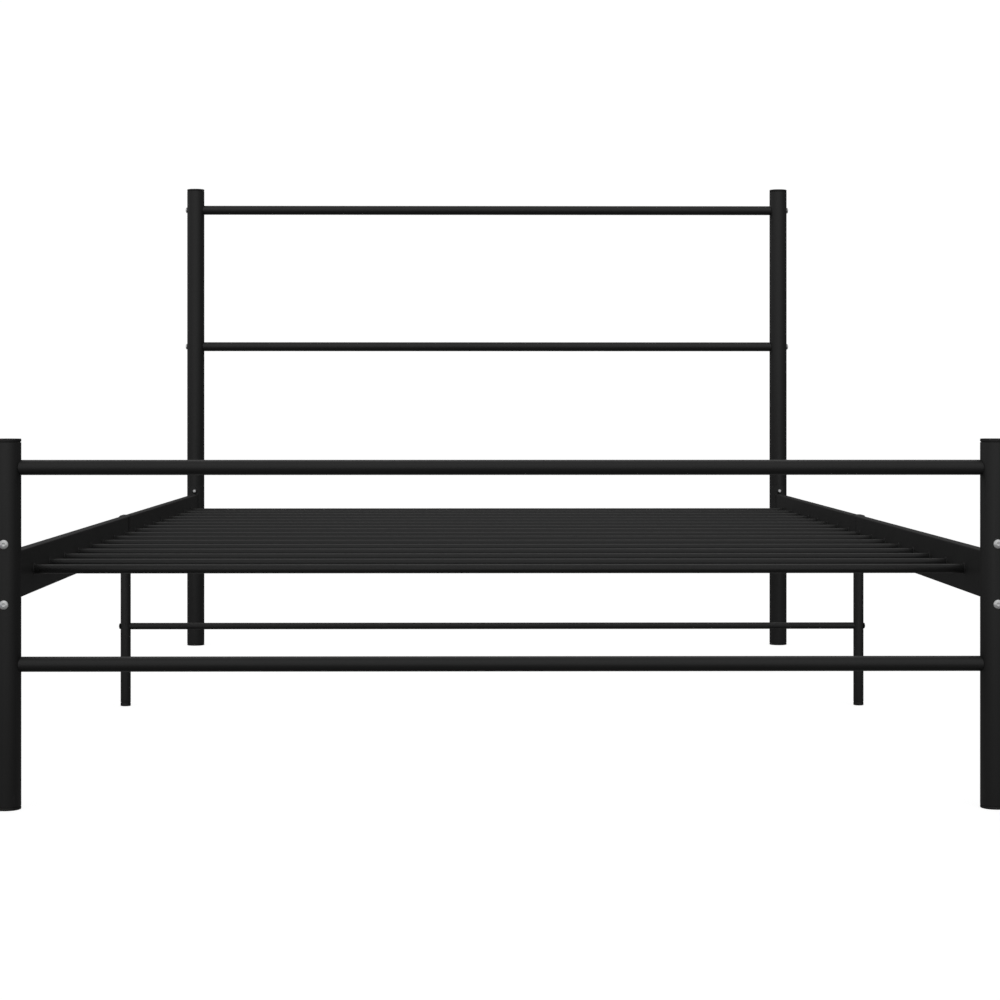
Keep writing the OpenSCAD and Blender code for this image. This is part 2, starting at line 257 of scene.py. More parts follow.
def make_floor():
    """Pale floor that takes soft shadows and sends no light back up under the frame."""
    mesh = bpy.data.meshes.new("floor")
    corners = [(x * FLOOR_REACH, y * FLOOR_REACH, 0) for x, y in ((-1, -1), (1, -1), (1, 1), (-1, 1))]
    mesh.from_pydata(corners, [], [(0, 1, 2, 3)])
    floor = bpy.data.objects.new("floor", mesh)
    bpy.context.scene.collection.objects.link(floor)
    material = bpy.data.materials.new("pale_floor")
    material.use_nodes = True
    tree = material.node_tree
    tree.nodes.clear()
    diffuse = tree.nodes.new("ShaderNodeBsdfDiffuse")
    diffuse.inputs["Color"].default_value = (FLOOR_GREY, FLOOR_GREY, FLOOR_GREY, 1)
    glow = tree.nodes.new("ShaderNodeEmission")
    glow.inputs["Color"].default_value = (1, 1, 1, 1)
    glow.inputs["Strength"].default_value = FLOOR_GLOW
    both = tree.nodes.new("ShaderNodeAddShader")
    out = tree.nodes.new("ShaderNodeOutputMaterial")
    tree.links.new(diffuse.outputs["BSDF"], both.inputs[0])
    tree.links.new(glow.outputs["Emission"], both.inputs[1])
    tree.links.new(both.outputs["Shader"], out.inputs["Surface"])
    mesh.materials.append(material)
    floor.visible_diffuse = False
    floor.visible_glossy = False


def make_studio():
    view = bpy.context.scene.view_settings
    view.view_transform = "Standard"
    view.look = "None"
    make_camera()
    make_world()
    make_softbox()
    make_floor()


# ---------------------------------------------------------------- materials

class Nodes:
    """A material's node tree, with short calls for the nodes that are used here."""

    def __init__(self, name, **sockets):
        self.material = bpy.data.materials.new(name)
        self.material.use_nodes = True
        self.tree = self.material.node_tree
        self.shader = self.tree.nodes["Principled BSDF"]
        for socket, value in sockets.items():
            self.shader.inputs[socket.replace("_", " ")].default_value = value
        self.place = self.tree.nodes.new("ShaderNodeTexCoord").outputs["Object"]

    def link(self, source, target):
        self.tree.links.new(source, target)

    def noise(self, scale, detail=2.0, roughness=0.5, place=None):
        node = self.tree.nodes.new("ShaderNodeTexNoise")
        node.inputs["Scale"].default_value = scale
        node.inputs["Detail"].default_value = detail
        node.inputs["Roughness"].default_value = roughness
        self.link(place or self.place, node.inputs["Vector"])
        return node.outputs["Fac"]

    def cells(self, scale, place=None):
        node = self.tree.nodes.new("ShaderNodeTexVoronoi")
        node.inputs["Scale"].default_value = scale
        self.link(place or self.place, node.inputs["Vector"])
        return node.outputs["Distance"]

    def stretched(self, x, y, z):
        """Object coordinates scaled along each axis, for streaks."""
        node = self.tree.nodes.new("ShaderNodeMapping")
        node.inputs["Scale"].default_value = (x, y, z)
        self.link(self.place, node.inputs["Vector"])
        return node.outputs["Vector"]

    def remap(self, value, low, high, to_low=0.0, to_high=1.0):
        node = self.tree.nodes.new("ShaderNodeMapRange")
        limits = {"From Min": low, "From Max": high, "To Min": to_low, "To Max": to_high}
        for socket, number in limits.items():
            node.inputs[socket].default_value = number
        self.link(value, node.inputs["Value"])
        return node.outputs["Result"]

    def math(self, operation, a, b):
        return calculate(self.tree, operation, a, b)

    def mix(self, factor, a, b):
        """Colour between a and b, each a grey level, a colour or a socket."""
        node = self.tree.nodes.new("ShaderNodeMix")
        node.data_type = "RGBA"
        self.link(factor, node.inputs["Factor"])
        for socket, value in ((node.inputs[6], a), (node.inputs[7], b)):
            if isinstance(value, (int, float)):
                socket.default_value = (value, value, value, 1)
            elif isinstance(value, tuple):
                socket.default_value = (*value, 1)
            else:
                self.link(value, socket)
        return node.outputs[2]

    def upward(self):
        """How far the surface faces up, from 0 to 1."""
        geometry = self.tree.nodes.new("ShaderNodeNewGeometry")
        split = self.tree.nodes.new("ShaderNodeSeparateXYZ")
        self.link(geometry.outputs["Normal"], split.inputs["Vector"])
        return self.remap(split.outputs["Z"], 0.45, 1.0)

    def height(self):
        split = self.tree.nodes.new("ShaderNodeSeparateXYZ")
        self.link(self.place, split.inputs["Vector"])
        return split.outputs["Z"]

    def finish(self, colour, roughness, heights):
        """Links colour and roughness, and chains bumps: each height is (socket, strength, distance)."""
        self.link(colour, self.shader.inputs["Base Color"])
        self.link(roughness, self.shader.inputs["Roughness"])
        previous = None
        for height, strength, distance in heights:
            bump = self.tree.nodes.new("ShaderNodeBump")
            bump.inputs["Strength"].default_value = strength
            bump.inputs["Distance"].default_value = distance
            self.link(height, bump.inputs["Height"])
            if previous:
                self.link(previous, bump.inputs["Normal"])
            previous = bump.outputs["Normal"]
        self.link(previous, self.shader.inputs["Normal"])
        return self.material


def powder_coat():
    """Satin black powder coat: orange peel, fine grain, faint dust on top that also serves as a painted
    top highlight, and rubbing low down.
    """
    n = Nodes("powder_coat", Specular_IOR_Level=0.5)
    cloud = n.noise(5.0, 5.0, 0.6)
    peel = n.noise(620.0, 2.0, 0.45)
    grain = n.noise(2600.0, 1.0)
    fleck = n.remap(n.cells(520.0), 0.0, 0.16, 1.0, 0.0)
    rare = n.remap(n.noise(90.0, 1.0), 0.62, 0.70)
    base = n.mix(n.remap(cloud, 0.3, 0.7), 0.0125, 0.0165)
    flecked = n.mix(n.math("MULTIPLY", n.math("MULTIPLY", fleck, rare), 0.35), base, 0.05)
    # Paler on faces that point up: partly dust, partly a painted highlight standing in for light from
    # above.
    dust_and_top_highlight = n.math("MULTIPLY", n.upward(), n.remap(n.noise(38.0, 6.0, 0.7), 0.42, 0.75, 0.0, 0.07))
    with_dust_and_highlight = n.mix(dust_and_top_highlight, flecked, (0.16, 0.155, 0.145))
    scuff = n.math(
        "MULTIPLY",
        n.remap(n.height(), 0.0, 0.05, 1.0, 0.0),
        n.remap(n.noise(140.0, 6.0, 0.7, n.stretched(1, 1, 0.25)), 0.58, 0.72, 0.0, 0.3),
    )
    colour = n.mix(scuff, with_dust_and_highlight, (0.09, 0.088, 0.085))
    roughness = n.math("ADD", n.remap(cloud, 0.3, 0.7, 0.40, 0.47), n.remap(peel, 0.3, 0.7, -0.03, 0.03))
    return n.finish(colour, roughness, [(peel, 0.3, 0.00016), (grain, 0.12, 0.00004)])


def moulded_plastic():
    """Black moulded plastic with a fine spark-eroded grain and slightly paler worn edges."""
    n = Nodes("moulded_plastic", Specular_IOR_Level=0.5)
    cloud = n.noise(24.0, 4.0)
    grain = n.cells(1500.0)
    base = n.mix(n.remap(cloud, 0.3, 0.7), 0.011, 0.015)
    worn = n.remap(n.noise(260.0, 4.0, 0.6), 0.5, 0.8, 0.0, 0.25)
    colour = n.mix(worn, base, 0.035)
    roughness = n.remap(cloud, 0.3, 0.7, 0.46, 0.54)
    return n.finish(colour, roughness, [(grain, 0.25, 0.00008)])


def bright_zinc():
    """Bright zinc plate: blue-white metal with fine tumbling marks and duller patches."""
    n = Nodes("bright_zinc", Metallic=0.7, Specular_IOR_Level=0.8)
    cloud = n.noise(320.0, 4.0, 0.6)
    marks = n.noise(1500.0, 3.0, 0.6)
    colour = n.mix(n.remap(cloud, 0.35, 0.7), (0.985, 0.99, 0.995), (0.94, 0.945, 0.95))
    roughness = n.remap(cloud, 0.3, 0.7, 0.25, 0.34)
    return n.finish(colour, roughness, [(marks, 0.14, 0.00003)])


def black_oxide():
    """Black oxide on the small screws: dark, slightly oily metal."""
    n = Nodes("black_oxide", Metallic=0.6, Specular_IOR_Level=0.5)
    cloud = n.noise(380.0, 4.0, 0.6)
    marks = n.noise(1700.0, 3.0, 0.6)
    colour = n.mix(n.remap(cloud, 0.35, 0.7), 0.020, 0.036)
    roughness = n.remap(cloud, 0.3, 0.7, 0.34, 0.48)
    return n.finish(colour, roughness, [(marks, 0.18, 0.00003)])


def oiled_steel():
    """Plain drawn steel inside the rails, with lengthways drawing marks and a thin oil film."""
    n = Nodes("oiled_steel", Metallic=1.0)
    drawn = n.noise(700.0, 3.0, 0.6, n.stretched(1, 0.02, 1))
    blotch = n.noise(45.0, 5.0, 0.6)
    colour = n.mix(n.remap(blotch, 0.3, 0.7), (0.34, 0.33, 0.32), (0.24, 0.235, 0.23))
    roughness = n.remap(drawn, 0.3, 0.7, 0.32, 0.48)
    return n.finish(colour, roughness, [(drawn, 0.2, 0.00004)])


MATERIALS = {
    "powder_coat": powder_coat(),
    "black_plastic": moulded_plastic(),
    "bright_zinc": bright_zinc(),
    "black_screw": black_oxide(),
    "bare_steel": oiled_steel(),
}


# ---------------------------------------------------------------- mesh helpers

SHARP = math.radians(32)


def loft(rings, loop=False):
    """Vertices and faces that join rings of equal length. With loop, the last joins the first."""
    count = len(rings[0])
    verts = [point for ring in rings for point in ring]
    faces = []
    last = len(rings) if loop else len(rings) - 1
    for i in range(last):
        a, b = i * count, (i + 1) % len(rings) * count
        for k in range(count):
            j = (k + 1) % count
            faces.append((a + k, a + j, b + j, b + k))
    return verts, faces


def lathe(profile, segments=64, loop=False):
    """A surface of revolution about Z. The profile is a list of (radius, z)."""
    rings = []
    for radius, z in profile:
        rings.append([
            Vector((radius * math.cos(t), radius * math.sin(t), z))
            for t in (2 * math.pi * k / segments for k in range(segments))
        ])
    return loft(rings, loop)


def rounded(points, radius, steps=4, loop=False):
    """A 2D outline with its corners rounded. radius is one number or one for each point."""
    count = len(points)
    radii = radius if isinstance(radius, (list, tuple)) else [radius] * count
    out = []
    for i, corner in enumerate(points):
        open_end = not loop and i in (0, count - 1)
        if open_end or radii[i] <= 0:
            out.append(tuple(corner))
            continue
        here = Vector(corner)
        before = (Vector(points[i - 1]) - here).normalized()
        after = (Vector(points[(i + 1) % count]) - here).normalized()
        half = before.angle(after) / 2
        tangent = radii[i] / math.tan(half)
        middle = here + (before + after).normalized() * (radii[i] / math.sin(half))
        start = here + before * tangent - middle
        end = here + after * tangent - middle
        sweep = math.atan2(start.x * end.y - start.y * end.x, start.dot(end))
        for step in range(steps + 1):
            turned = start.copy()
            turned.rotate(Matrix.Rotation(sweep * step / steps, 2))
            out.append(tuple(middle + turned))
    return out


def outline(width, height, corner, arc_steps=5, across_steps=8):
    """Rounded rectangle about the origin as (x, z), with points along its short sides too."""
    points = []
    half_w, half_h = width / 2 - corner, height / 2 - corner
    for quarter, (sx, sz) in enumerate(((1, 1), (-1, 1), (-1, -1), (1, -1))):
        for step in range(arc_steps + 1):
            turn = math.radians(90) * (quarter + step / arc_steps)
            points.append((sx * half_w + corner * math.cos(turn), sz * half_h + corner * math.sin(turn)))
        if quarter in (0, 2):
            start_x = points[-1][0]
            z = points[-1][1]
            for step in range(1, across_steps):
                points.append((start_x - 2 * sx * half_w * step / across_steps, z))
    return points


def moved(shape, matrix):
    """A shape's vertices moved by a matrix."""
    verts, faces = shape
    return [matrix @ Vector(v) for v in verts], faces


def joined(shapes):
    """Several shapes as one."""
    verts, faces = [], []
    for shape_verts, shape_faces in shapes:
        base = len(verts)
        verts.extend(shape_verts)
        faces.extend(tuple(base + i for i in face) for face in shape_faces)
    return verts, faces


def plain_object(name, shape):
    """A Blender object of a shape, with doubled points merged and normals outward."""
    mesh = bpy.data.meshes.new(name)
    verts, faces = shape
    mesh.from_pydata([tuple(v) for v in verts], [], faces)
    work = bmesh.new()
    work.from_mesh(mesh)
    bmesh.ops.remove_doubles(work, verts=work.verts, dist=1e-7)
    bmesh.ops.recalc_face_normals(work, faces=work.faces)
    work.to_mesh(mesh)
    work.free()
    obj = bpy.data.objects.new(name, mesh)
    bpy.context.scene.collection.objects.link(obj)
    return obj


def carve(obj, cutters):
    """Cuts shapes out of an object."""
    tool = plain_object("cutter", joined(cutters))
    cut = obj.modifiers.new("cut", "BOOLEAN")
    cut.operation = "DIFFERENCE"
    cut.solver = "EXACT"
    cut.object = tool
    graph = bpy.context.evaluated_depsgraph_get()
    carved = bpy.data.meshes.new_from_object(obj.evaluated_get(graph))
    obj.modifiers.clear()
    obj.data = carved
    bpy.data.objects.remove(tool)


def piece(name, shape, slot, nodes=(), cutters=()):
    """A finished piece of the bed: mesh, shading, material, body, slot and the nodes it stands for."""
    obj = plain_object(name, shape)
    if cutters:
        carve(obj, cutters)
    obj.data.shade_smooth()
    obj.data.set_sharp_from_angle(angle=SHARP)
    obj.data.materials.clear()
    obj.data.materials.append(MATERIALS[slot])
    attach(obj, BODY)
    if nodes:
        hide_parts(*nodes)
    return obj


def rod(start, end, radius, segments=40):
    """Closed cylinder between two points, for cutting holes."""
    start, end = Vector(start), Vector(end)
    length = (end - start).length
    shape = lathe([(0, 0), (radius, 0), (radius, length), (0, length)], segments)
    turn = (end - start).to_track_quat("Z", "Y").to_matrix().to_4x4()
    return moved(shape, Matrix.Translation(start) @ turn)


def facing(place, direction):
    """Matrix that puts a shape at place with its Z axis along direction."""
    turn = Vector(direction).to_track_quat("Z", "Y").to_matrix().to_4x4()
    return Matrix.Translation(Vector(place)) @ turn


# ---------------------------------------------------------------- headboard and footboard

EDGE = 0.35 * MM
POST_EDGE = 0.5 * MM


def tube_profile(radius, wall, low, high, edge=EDGE):
    """Closed outline of a tube wall with broken edges, as (radius, z)."""
    corners = [(radius - wall, low), (radius, low), (radius, high), (radius - wall, high)]
    return rounded(corners, edge, 3, loop=True)


def make_post(side, end):
    node = f"{end}_post_{side}"
    low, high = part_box(node)
    x, y = SIDES[side] * POST_X, ENDS[end] * POST_Y
    shape = lathe(tube_profile(POST_R, POST_WALL, low.z, high.z, POST_EDGE), 96, loop=True)
    shape = moved(shape, Matrix.Translation((x, y, 0)))
    reach = 2 * POST_R
    holes = [rod((x, y - reach, z), (x, y + reach, z), SCREW_HOLE_R) for z in RAIL_SCREW_Z[end]]
    for level in ("upper", "lower"):
        z = centre(f"{end}_rung_{level}").z
        holes.append(rod((x - reach, y, z), (x + reach, y, z), SCREW_HOLE_R))
    piece(node + "_tube", shape, "powder_coat", [node], holes)


def coped_bar(y, z, radius, wall, seat_r, segments=72):
    """Tube along X between two upright tubes of radius seat_r at the post axes, ends cut to fit."""
    inner = radius - wall
    edge = EDGE
    profile = [
        (inner, 3 * edge), (inner, edge), (inner + edge, 0),
        (radius - edge, 0), (radius, edge), (radius, 3 * edge),
    ]

    def ring(side, r, back):
        points = []
        for k in range(segments):
            t = 2 * math.pi * k / segments
            across = r * math.cos(t)
            seat = POST_X - math.sqrt(seat_r ** 2 - across ** 2)
            points.append(Vector((side * (seat - back), y + across, z + r * math.sin(t))))
        return points

    rings = [ring(1, r, back) for r, back in profile]
    rings += [ring(-1, r, back) for r, back in reversed(profile)]
    return loft(rings, loop=True)


def make_rung(end, level):
    node = f"{end}_rung_{level}"
    place = centre(node)
    shape = coped_bar(place.y, place.z, RUNG_R, RUNG_WALL, POST_R)
    piece(node + "_tube", shape, "powder_coat", [node])


PLUG_WALL = 2.0 * MM
SHADOW_GAP = 0.8 * MM
CRUSH_RIBS = 6
CRUSH_RIB_R = 0.6 * MM


def plug_shape(radius, flange, bore_r, spigot, crown):
    """Tube plug from its outer face at z = 0: flange, shadow gap, hollow spigot and crush ribs."""
    neck_z = flange - SHADOW_GAP
    neck_r = radius - 0.7 * (radius - bore_r)
    spigot_r = bore_r - 0.1 * MM
    core_r = spigot_r - PLUG_WALL
    top = flange + spigot
    corners = [
        (0, crown), (0.62 * radius, crown), (0.80 * radius, 0), (radius, 0), (radius, neck_z),
        (neck_r, neck_z), (neck_r, flange), (spigot_r, flange), (spigot_r, top),
        (core_r, top), (core_r, flange), (0, flange),
    ]
    radii = [0, 4, 4, 0.9, 0.3, 0.1, 0.1, 0.1, 0.6, 0.3, 0.5, 0]
    radii = [r * MM for r in radii]
    shapes = [lathe(rounded(corners, radii, 5), 72)]
    rib_x = spigot_r - CRUSH_RIB_R + 0.09 * MM
    for k in range(CRUSH_RIBS):
        turn = math.radians(360 / CRUSH_RIBS * k)
        rib = lathe([(0, 0), (CRUSH_RIB_R, 0), (CRUSH_RIB_R, spigot * 0.8), (0, spigot * 0.9)], 12)
        place = Matrix.Rotation(turn, 4, "Z") @ Matrix.Translation((rib_x, 0, flange))
        shapes.append(moved(rib, place))
    return joined(shapes)


def make_cap(side, end):
    node = f"cap_{end}_{side}"
    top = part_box(node)[1].z
    shape = plug_shape(POST_R, CAP_T, POST_R - POST_WALL, CAP_SPIGOT, 0.5 * MM)
    place = facing((SIDES[side] * POST_X, ENDS[end] * POST_Y, top), (0, 0, -1))
    piece(node + "_moulding", moved(shape, place), "black_plastic", [node])


def make_glide(side, end):
    node = f"glide_{end}_{side}"
    shape = plug_shape(POST_R, GLIDE_T, POST_R - POST_WALL, GLIDE_SPIGOT, 0.4 * MM)
    place = Matrix.Translation((SIDES[side] * POST_X, ENDS[end] * POST_Y, 0))
    piece(node + "_moulding", moved(shape, place), "black_plastic", [node])


# ---------------------------------------------------------------- side rails

BROKEN_EDGE = ((0, EDGE), (EDGE, 0))
FAIRED_EDGE = ((0, 1.3 * MM), (1.6 * MM, 0.5 * MM), (4.5 * MM, 0))


def boxed_tube(x, width, height, corner, wall, start, end, arc_steps=5, edge=BROKEN_EDGE):
    """Rectangular tube along Y at x. start and end each give y from the distance to the tube's middle.

    edge is the outer edge's profile at both ends: (distance from the end, inset) from the end inwards.
    """
    inner = outline(width - 2 * wall, height - 2 * wall, max(corner - wall, 0.4 * MM), arc_steps)
    inner_middle = outline(width - 2 * wall + EDGE, height - 2 * wall + EDGE,
                           max(corner - wall + EDGE / 2, 0.5 * MM), arc_steps)

    def ring(points, limit, back):
        return [Vector((x + px, limit(px) + back, RAIL_Z + pz)) for px, pz in points]

    direction = 1 if end(0) > start(0) else -1
    step = EDGE * direction
    lips = [(back, outline(width - 2 * inset, height - 2 * inset, corner - inset, arc_steps))
            for back, inset in edge]
    rings = [ring(inner, start, step), ring(inner_middle, start, 0)]
    rings += [ring(points, start, back * direction) for back, points in lips]
    rings += [ring(points, end, -back * direction) for back, points in reversed(lips)]
    rings += [ring(inner_middle, end, 0), ring(inner, end, -step)]
    return loft(rings, loop=True)


def make_rail(side, end):
    node = f"rail_{end}_{side}"
    sx, sy = SIDES[side], ENDS[end]
    x = sx * POST_X

    def joint(_):
        return sy * JOINT_Y

    def cope(offset):
        return sy * (POST_Y - math.sqrt(SADDLE_R ** 2 - offset ** 2))

    shape = boxed_tube(x, RAIL_T, RAIL_H, RAIL_CORNER, RAIL_WALL, joint, cope)
    inner_x = x - sx * RAIL_T / 2
    outer_x = x + sx * RAIL_T / 2
    holes = []
    for slat in SLATS:
        y = centre(slat).y
        if y * sy > 0:
            start = (inner_x - sx * 2 * MM, y, RAIL_Z)
            holes.append(rod(start, (inner_x + sx * 4 * MM, y, RAIL_Z), BUSH_BODY_R + BUSH_SLIP))
    screw_start = (outer_x - sx * 4 * MM, sy * JOINER_SCREW_Y, RAIL_Z)
    screw_end = (outer_x + sx * 2 * MM, sy * JOINER_SCREW_Y, RAIL_Z)
    holes.append(rod(screw_start, screw_end, SCREW_HOLE_R))
    nut_z = RAIL_SCREW_Z[end][0]
    if nut_z + NUT_RELIEF_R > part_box(node)[0].z:
        nut_start = (x, sy * (POST_Y - SADDLE_R + 4 * MM), nut_z)
        nut_end = (x, sy * (POST_Y - SADDLE_R - NUT_RELIEF_L), nut_z)
        holes.append(rod(nut_start, nut_end, NUT_RELIEF_R))
    piece(node + "_tube", shape, "powder_coat", [node], holes)


def make_saddle(side, end):
    """Curved end plate with rounded corners, pressed to the round of the post."""
    node = f"saddle_{end}_{side}"
    x, sy = SIDES[side] * POST_X, ENDS[end]
    corner = 4.0 * MM
    rows, columns = 48, 24
    bevel = 0.4 * MM

    def half_width(z):
        margin = SADDLE_H / 2 - abs(z)
        if margin >= corner:
            return SADDLE_W / 2
        return SADDLE_W / 2 - corner + math.sqrt(max(corner ** 2 - (corner - margin) ** 2, 0))

    levels = []
    for k in range(rows + 1):
        levels.append(-math.cos(math.pi * k / rows) * SADDLE_H / 2)

    def point(radius, z, share, inset):
        px = (half_width(z) - inset) * share
        height = SADDLE_Z[end] + z * (1 - inset / SADDLE_H)
        return Vector((x + px, sy * (POST_Y - math.sqrt(radius ** 2 - px ** 2)), height))

    rings = []
    for z in levels:
        back = [point(SADDLE_R, z, 2 * c / columns - 1, bevel) for c in range(columns + 1)]
        edge_right = [point(SADDLE_R - bevel, z, 1, 0), point(POST_R + bevel / 2, z, 1, 0)]
        front = [point(POST_R, z, 1 - 2 * c / columns, bevel) for c in range(columns + 1)]
        edge_left = [point(POST_R + bevel / 2, z, -1, 0), point(SADDLE_R - bevel, z, -1, 0)]
        rings.append(back + edge_right + front + edge_left)
    verts, faces = loft(rings)
    count = len(rings[0])
    wide = columns + 1
    for base in (0, len(verts) - count):
        row_back = [base + c for c in range(wide)]
        row_front = [base + wide + 2 + (columns - c) for c in range(wide)]
        for c in range(columns):
            faces.append((row_back[c], row_back[c + 1], row_front[c + 1], row_front[c]))
        faces.append((row_back[-1], base + wide, base + wide + 1, row_front[-1]))
        faces.append((row_back[0], row_front[0], base + count - 2, base + count - 1))
    holes = []
    for z in RAIL_SCREW_Z[end]:
        start, end_point = (x, sy * (POST_Y - 10 * MM), z), (x, sy * (POST_Y - 30 * MM), z)
        holes.append(rod(start, end_point, SCREW_HOLE_R))
    piece(node + "_plate", (verts, faces), "powder_coat", [node], holes)


def hex_radius(turn, flats):
    """Distance from the middle of a hexagon to its side, at an angle."""
    sixth = math.radians(60)
    return flats / 2 / math.cos((turn + sixth / 2) % sixth - sixth / 2)


def nut_shape():
    """Hexagon nut from z = 0 to NUT_H, with chamfered corners and a countersunk bore."""
    segments = 72
    bore = 3.05 * MM
    sink = 0.6 * MM
    flat_r = NUT_AF / 2 * 0.97
    slope = math.tan(math.radians(30))
    turns = [2 * math.pi * k / segments for k in range(segments)]

    def ring(radius, z):
        return [Vector((radius * math.cos(t), radius * math.sin(t), z)) for t in turns]

    def corner_ring(base, sign):
        points = []
        for t in turns:
            r = hex_radius(t, NUT_AF)
            points.append(Vector((r * math.cos(t), r * math.sin(t), base - sign * (r - flat_r) * slope)))
        return points

    rings = [
        ring(bore, sink), ring(bore + sink, 0), ring(flat_r, 0), corner_ring(0, -1),
        corner_ring(NUT_H, 1), ring(flat_r, NUT_H), ring(bore + sink, NUT_H), ring(bore, NUT_H - sink),
    ]
    return loft(rings, loop=True)


def make_weld_nuts():
    shapes = []
    for sx in SIDES.values():
        for end, sy in ENDS.items():
            for z in RAIL_SCREW_Z[end]:
                place = facing((sx * POST_X, sy * (POST_Y - SADDLE_R), z), (0, -sy, 0))
                shapes.append(moved(nut_shape(), place))
    piece("rail_nuts_hexagon", joined(shapes), "powder_coat", ["rail_weld_nuts"])


RIPPLE_HEIGHT = 0.16
RIPPLE_SCATTER = 0.03


def bead(path, radius, pitch, seed):
    """Weld bead: a rippled ridge along a closed path of points."""
    rng = random.Random(seed)
    count = len(path)
    sides = 10
    rings = []
    travelled = 0.0
    for i, here in enumerate(path):
        after = path[(i + 1) % count]
        before = path[i - 1]
        along = (after - before).normalized()
        travelled += (here - before).length if i else 0.0
        first = along.orthogonal().normalized()
        helper = Vector((0.31, 0.87, 0.38)).cross(along)
        first = helper.normalized() if helper.length > 0.1 else first
        second = along.cross(first)
        ripple = 1 + RIPPLE_HEIGHT * abs(math.sin(math.pi * travelled / pitch))
        ripple += rng.uniform(-RIPPLE_SCATTER, RIPPLE_SCATTER)
        ring = []
        for k in range(sides):
            t = 2 * math.pi * k / sides
            ring.append(here + (first * math.cos(t) + second * math.sin(t)) * radius * ripple)
        rings.append(ring)
    return loft(rings, loop=True)


def resampled(points, step):
    """A closed path with points every step or so."""
    out = []
    for i, here in enumerate(points):
        after = points[(i + 1) % len(points)]
        parts = max(1, round((after - here).length / step))
        out.extend(here.lerp(after, k / parts) for k in range(parts))
    return out


def make_rail_weld(side, end):
    """Fillet weld right round the rail where it meets its end plate."""
    x, sy = SIDES[side] * POST_X, ENDS[end]
    path = []
    for px, pz in outline(RAIL_T + 0.6 * MM, RAIL_H + 0.6 * MM, RAIL_CORNER):
        y = sy * (POST_Y - math.sqrt(SADDLE_R ** 2 - px ** 2) - 0.3 * MM)
        path.append(Vector((x + px, y, RAIL_Z + pz)))
    shape = bead(resampled(path, 0.55 * MM), RAIL_WELD_R, RAIL_WELD_PITCH, f"{side}{end}")
    piece(f"weld_rail_{end}_{side}", shape, "powder_coat")


def make_leg_weld(side):
    """Fillet weld round the top of a centre leg."""
    x = SIDES[side] * POST_X
    steps = 100
    path = []
    for k in range(steps):
        t = 2 * math.pi * k / steps
        r = LEG_R + 0.2 * MM
        path.append(Vector((x + r * math.cos(t), r * math.sin(t), LEG_TOP - 0.4 * MM)))
    piece(f"weld_leg_{side}", bead(path, LEG_WELD_R, LEG_WELD_PITCH, side), "powder_coat")


def make_joiner(side):
    """Sheet-steel sleeve round the rail joint."""
    node = f"rail_joiner_{side}"
    sx = SIDES[side]
    x = sx * POST_X
    corner = RAIL_CORNER + JOINER_WALL
    shape = boxed_tube(x, JOINER_W, JOINER_H, corner, JOINER_WALL,
                       lambda _: -JOINER_L / 2, lambda _: JOINER_L / 2, 7, FAIRED_EDGE)
    outer_x = x + sx * RAIL_T / 2
    holes = [
        rod((outer_x - sx * 0.05 * MM, y, RAIL_Z), (outer_x + sx * 5 * MM, y, RAIL_Z), SCREW_HOLE_R)
        for y in (-JOINER_SCREW_Y, JOINER_SCREW_Y)
    ]
    piece(node + "_sleeve", shape, "powder_coat", [node], holes)


# ---------------------------------------------------------------- centre legs

def make_leg(side):
    node = f"centre_leg_{side}"
    x = SIDES[side] * POST_X
    shape = lathe(tube_profile(LEG_R, LEG_WALL, LEG_GLIDE_T, LEG_TOP), 72, loop=True)
    hole = rod((x - 2 * LEG_R, 0, CROSSBAR_Z), (x + 2 * LEG_R, 0, CROSSBAR_Z), SMALL_SCREW_HOLE_R)
    piece(node + "_tube", moved(shape, Matrix.Translation((x, 0, 0))), "powder_coat", [node], [hole])


def make_leg_glide(side):
    node = f"leg_glide_{side}"
    shape = plug_shape(LEG_R, LEG_GLIDE_T, LEG_R - LEG_WALL, GLIDE_SPIGOT, 0.3 * MM)
    place = Matrix.Translation((SIDES[side] * POST_X, 0, 0))
    piece(node + "_moulding", moved(shape, place), "black_plastic", [node])


def make_crossbar():
    shape = coped_bar(0, CROSSBAR_Z, CROSSBAR_R, CROSSBAR_WALL, LEG_R, 48)
    piece("leg_crossbar_tube", shape, "powder_coat", ["leg_crossbar"])


# ---------------------------------------------------------------- slats

def make_slat(node):
    place = centre(node)
    shape = lathe(tube_profile(SLAT_R, SLAT_WALL, -SLAT_END_X, SLAT_END_X, 0.2 * MM), 56, loop=True)
    piece(node + "_tube", moved(shape, facing(place, (1, 0, 0))), "powder_coat", [node])


def bush_shape():
    bore = SLAT_R + BUSH_SLIP
    corners = [
        (bore, 0), (BUSH_R, 0), (BUSH_R, BUSH_FLANGE_T),
        (BUSH_BODY_R, BUSH_FLANGE_T), (BUSH_BODY_R, BUSH_L), (bore, BUSH_L),
    ]
    radii = [0.25 * MM, 0.8 * MM, 0.1 * MM, 0.1 * MM, 0.4 * MM, 0.2 * MM]
    return lathe(rounded(corners, radii, 4, loop=True), 56, loop=True)


def make_bushes(side):
    sx = SIDES[side]
    shapes = []
    for slat in SLATS:
        place = facing((sx * BUSH_INNER_X, centre(slat).y, RAIL_Z), (sx, 0, 0))
        shapes.append(moved(bush_shape(), place))
    node = f"slat_bushes_{side}"
    piece(node + "_mouldings", joined(shapes), "black_plastic", [node])


# ---------------------------------------------------------------- fixings

M6 = {"d": 6.0 * MM, "pitch": 1.0 * MM}
M5 = {"d": 5.0 * MM, "pitch": 0.8 * MM}
RAIL_SCREW_L = 45.5 * MM
RUNG_SCREW_L = 55.0 * MM
JOINER_SCREW_L = 9.0 * MM
CROSSBAR_SCREW_L = 31.0 * MM

# Button head and its hexagon socket, by the thread diameter
HEAD_HEIGHT = 0.55
HEAD_RIM = 0.28
SOCKET_FLATS = 0.66
SOCKET_DEPTH = 0.3


